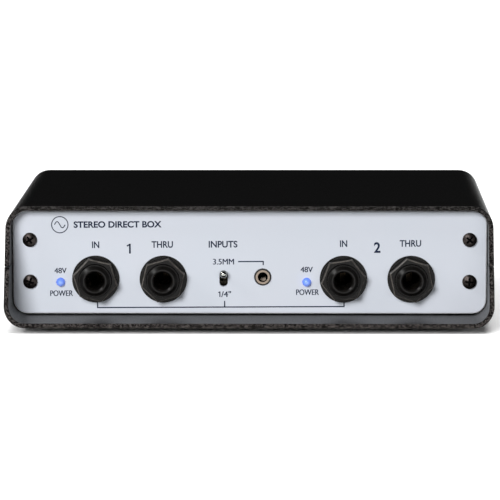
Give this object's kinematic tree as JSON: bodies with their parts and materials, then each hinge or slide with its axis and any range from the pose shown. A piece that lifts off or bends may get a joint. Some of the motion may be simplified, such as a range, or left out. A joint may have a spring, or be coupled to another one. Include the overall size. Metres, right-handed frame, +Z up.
{
  "type": "direct injection box",
  "caption": "Low black metal box with raked ends and recessed pale panels; jack inputs, selector toggle and lamps in front, XLR outlets and toggles behind.",
  "frame": {"origin": "centre of the footprint, at the underside of the rubber feet", "axes": "+X to the right across the front panel, +Y from the front panel to the rear panel, +Z up"},
  "size_m": [0.172, 0.135, 0.043],
  "materials": {
    "case_black": "fine satin powder coat",
    "panel_pale": "smooth satin pale blue-grey",
    "screw_black": "black oxide",
    "rubber": "matt",
    "jack_black": "moulded",
    "spring_bronze": "plain strip",
    "ring_nickel": "warm nickel",
    "lamp_blue": "clear tinted epoxy",
    "tinned": "tinned",
    "brass": "turned",
    "lever_chrome": "polished",
    "toggle_black": "moulded",
    "outlet_black": "black satin",
    "insert_black": "moulded",
    "board_green": "solder mask",
    "core_iron": "laminated steel",
    "winding_tape": "polyester tape",
    "can_blue": "sleeved aluminium can",
    "film_red": "epoxy dipped",
    "resistor_beige": "lacquered",
    "chip_black": "moulded",
    "ink_navy": "printed legends"
  },
  "bodies": {
    "case": {"amplifier_chips": "chip_black", "bottom_shell": "case_black", "circuit_board": "board_green", "electrolytic_capacitors": "can_blue", "film_capacitors": "film_red", "front_panel": "panel_pale", "front_panel_screws": "screw_black", "input_1_jack": "jack_black", "input_1_springs": "spring_bronze", "input_1_washer": "jack_black", "input_2_jack": "jack_black", "input_2_springs": "spring_bronze", "input_2_washer": "jack_black", "jack_nuts": "jack_black", "lamp_1": "lamp_blue", "lamp_2": "lamp_blue", "lamp_leads": "tinned", "lift_1_housing": "toggle_black", "lift_2_housing": "toggle_black", "mini_jack_body": "jack_black", "mini_jack_ring": "ring_nickel", "mini_jack_spring": "spring_bronze", "outlet_1_contacts": "tinned", "outlet_1_insert": "insert_black", "outlet_1_shell": "outlet_black", "outlet_2_contacts": "tinned", "outlet_2_insert": "insert_black", "outlet_2_shell": "outlet_black", "outlet_screws": "screw_black", "pad_1_housing": "toggle_black", "pad_2_housing": "toggle_black", "rear_panel": "panel_pale", "rear_panel_screws": "screw_black", "resistors": "resistor_beige", "rubber_feet": "rubber", "selector_housing": "toggle_black", "thru_1_jack": "jack_black", "thru_1_springs": "spring_bronze", "thru_1_washer": "jack_black", "thru_2_jack": "jack_black", "thru_2_springs": "spring_bronze", "thru_2_washer": "jack_black", "toggle_bushings": "brass", "toggle_terminals": "spring_bronze", "top_shell": "case_black", "transformer_1_core": "core_iron", "transformer_1_winding": "winding_tape", "transformer_2_core": "core_iron", "transformer_2_winding": "winding_tape"},
    "selector_arm": {"selector_lever": "lever_chrome"},
    "selector_contact": {"selector_rocker": "spring_bronze"},
    "lift_1_arm": {"lift_1_lever": "lever_chrome"},
    "lift_1_contact": {"lift_1_rocker": "spring_bronze"},
    "pad_1_arm": {"pad_1_lever": "lever_chrome"},
    "pad_1_contact": {"pad_1_rocker": "spring_bronze"},
    "lift_2_arm": {"lift_2_lever": "lever_chrome"},
    "lift_2_contact": {"lift_2_rocker": "spring_bronze"},
    "pad_2_arm": {"pad_2_lever": "lever_chrome"},
    "pad_2_contact": {"pad_2_rocker": "spring_bronze"}
  },
  "joints": [
    {"name": "selector_throw", "type": "hinge", "parent": "case", "child": "selector_arm", "pos_m": [-0.0092, -0.043, 0.01665], "axis": [1, 0, 0], "range_deg": [0, 28.4]},
    {"name": "selector_tip_over", "type": "hinge", "parent": "case", "child": "selector_contact", "pos_m": [-0.0092, -0.0379, 0.01665], "axis": [1, 0, 0], "range_deg": [-20, 0]},
    {"name": "lift_1_throw", "type": "hinge", "parent": "case", "child": "lift_1_arm", "pos_m": [-0.02, 0.043, 0.01665], "axis": [-1, 0, 0], "range_deg": [0, 28.4]},
    {"name": "lift_1_tip_over", "type": "hinge", "parent": "case", "child": "lift_1_contact", "pos_m": [-0.02, 0.0379, 0.01665], "axis": [-1, 0, 0], "range_deg": [-20, 0]},
    {"name": "pad_1_throw", "type": "hinge", "parent": "case", "child": "pad_1_arm", "pos_m": [-0.068, 0.043, 0.01665], "axis": [-1, 0, 0], "range_deg": [0, 28.4]},
    {"name": "pad_1_tip_over", "type": "hinge", "parent": "case", "child": "pad_1_contact", "pos_m": [-0.068, 0.0379, 0.01665], "axis": [-1, 0, 0], "range_deg": [-20, 0]},
    {"name": "lift_2_throw", "type": "hinge", "parent": "case", "child": "lift_2_arm", "pos_m": [0.068, 0.043, 0.01665], "axis": [-1, 0, 0], "range_deg": [0, 28.4]},
    {"name": "lift_2_tip_over", "type": "hinge", "parent": "case", "child": "lift_2_contact", "pos_m": [0.068, 0.0379, 0.01665], "axis": [-1, 0, 0], "range_deg": [-20, 0]},
    {"name": "pad_2_throw", "type": "hinge", "parent": "case", "child": "pad_2_arm", "pos_m": [0.02, 0.043, 0.01665], "axis": [-1, 0, 0], "range_deg": [0, 28.4]},
    {"name": "pad_2_tip_over", "type": "hinge", "parent": "case", "child": "pad_2_contact", "pos_m": [0.02, 0.0379, 0.01665], "axis": [-1, 0, 0], "range_deg": [-20, 0]}
  ],
  "couplings": [
    {"joint": "selector_tip_over", "follows": "selector_throw", "ratio": -0.70423},
    {"joint": "lift_1_tip_over", "follows": "lift_1_throw", "ratio": -0.70423},
    {"joint": "pad_1_tip_over", "follows": "pad_1_throw", "ratio": -0.70423},
    {"joint": "lift_2_tip_over", "follows": "lift_2_throw", "ratio": -0.70423},
    {"joint": "pad_2_tip_over", "follows": "pad_2_throw", "ratio": -0.70423}
  ]
}
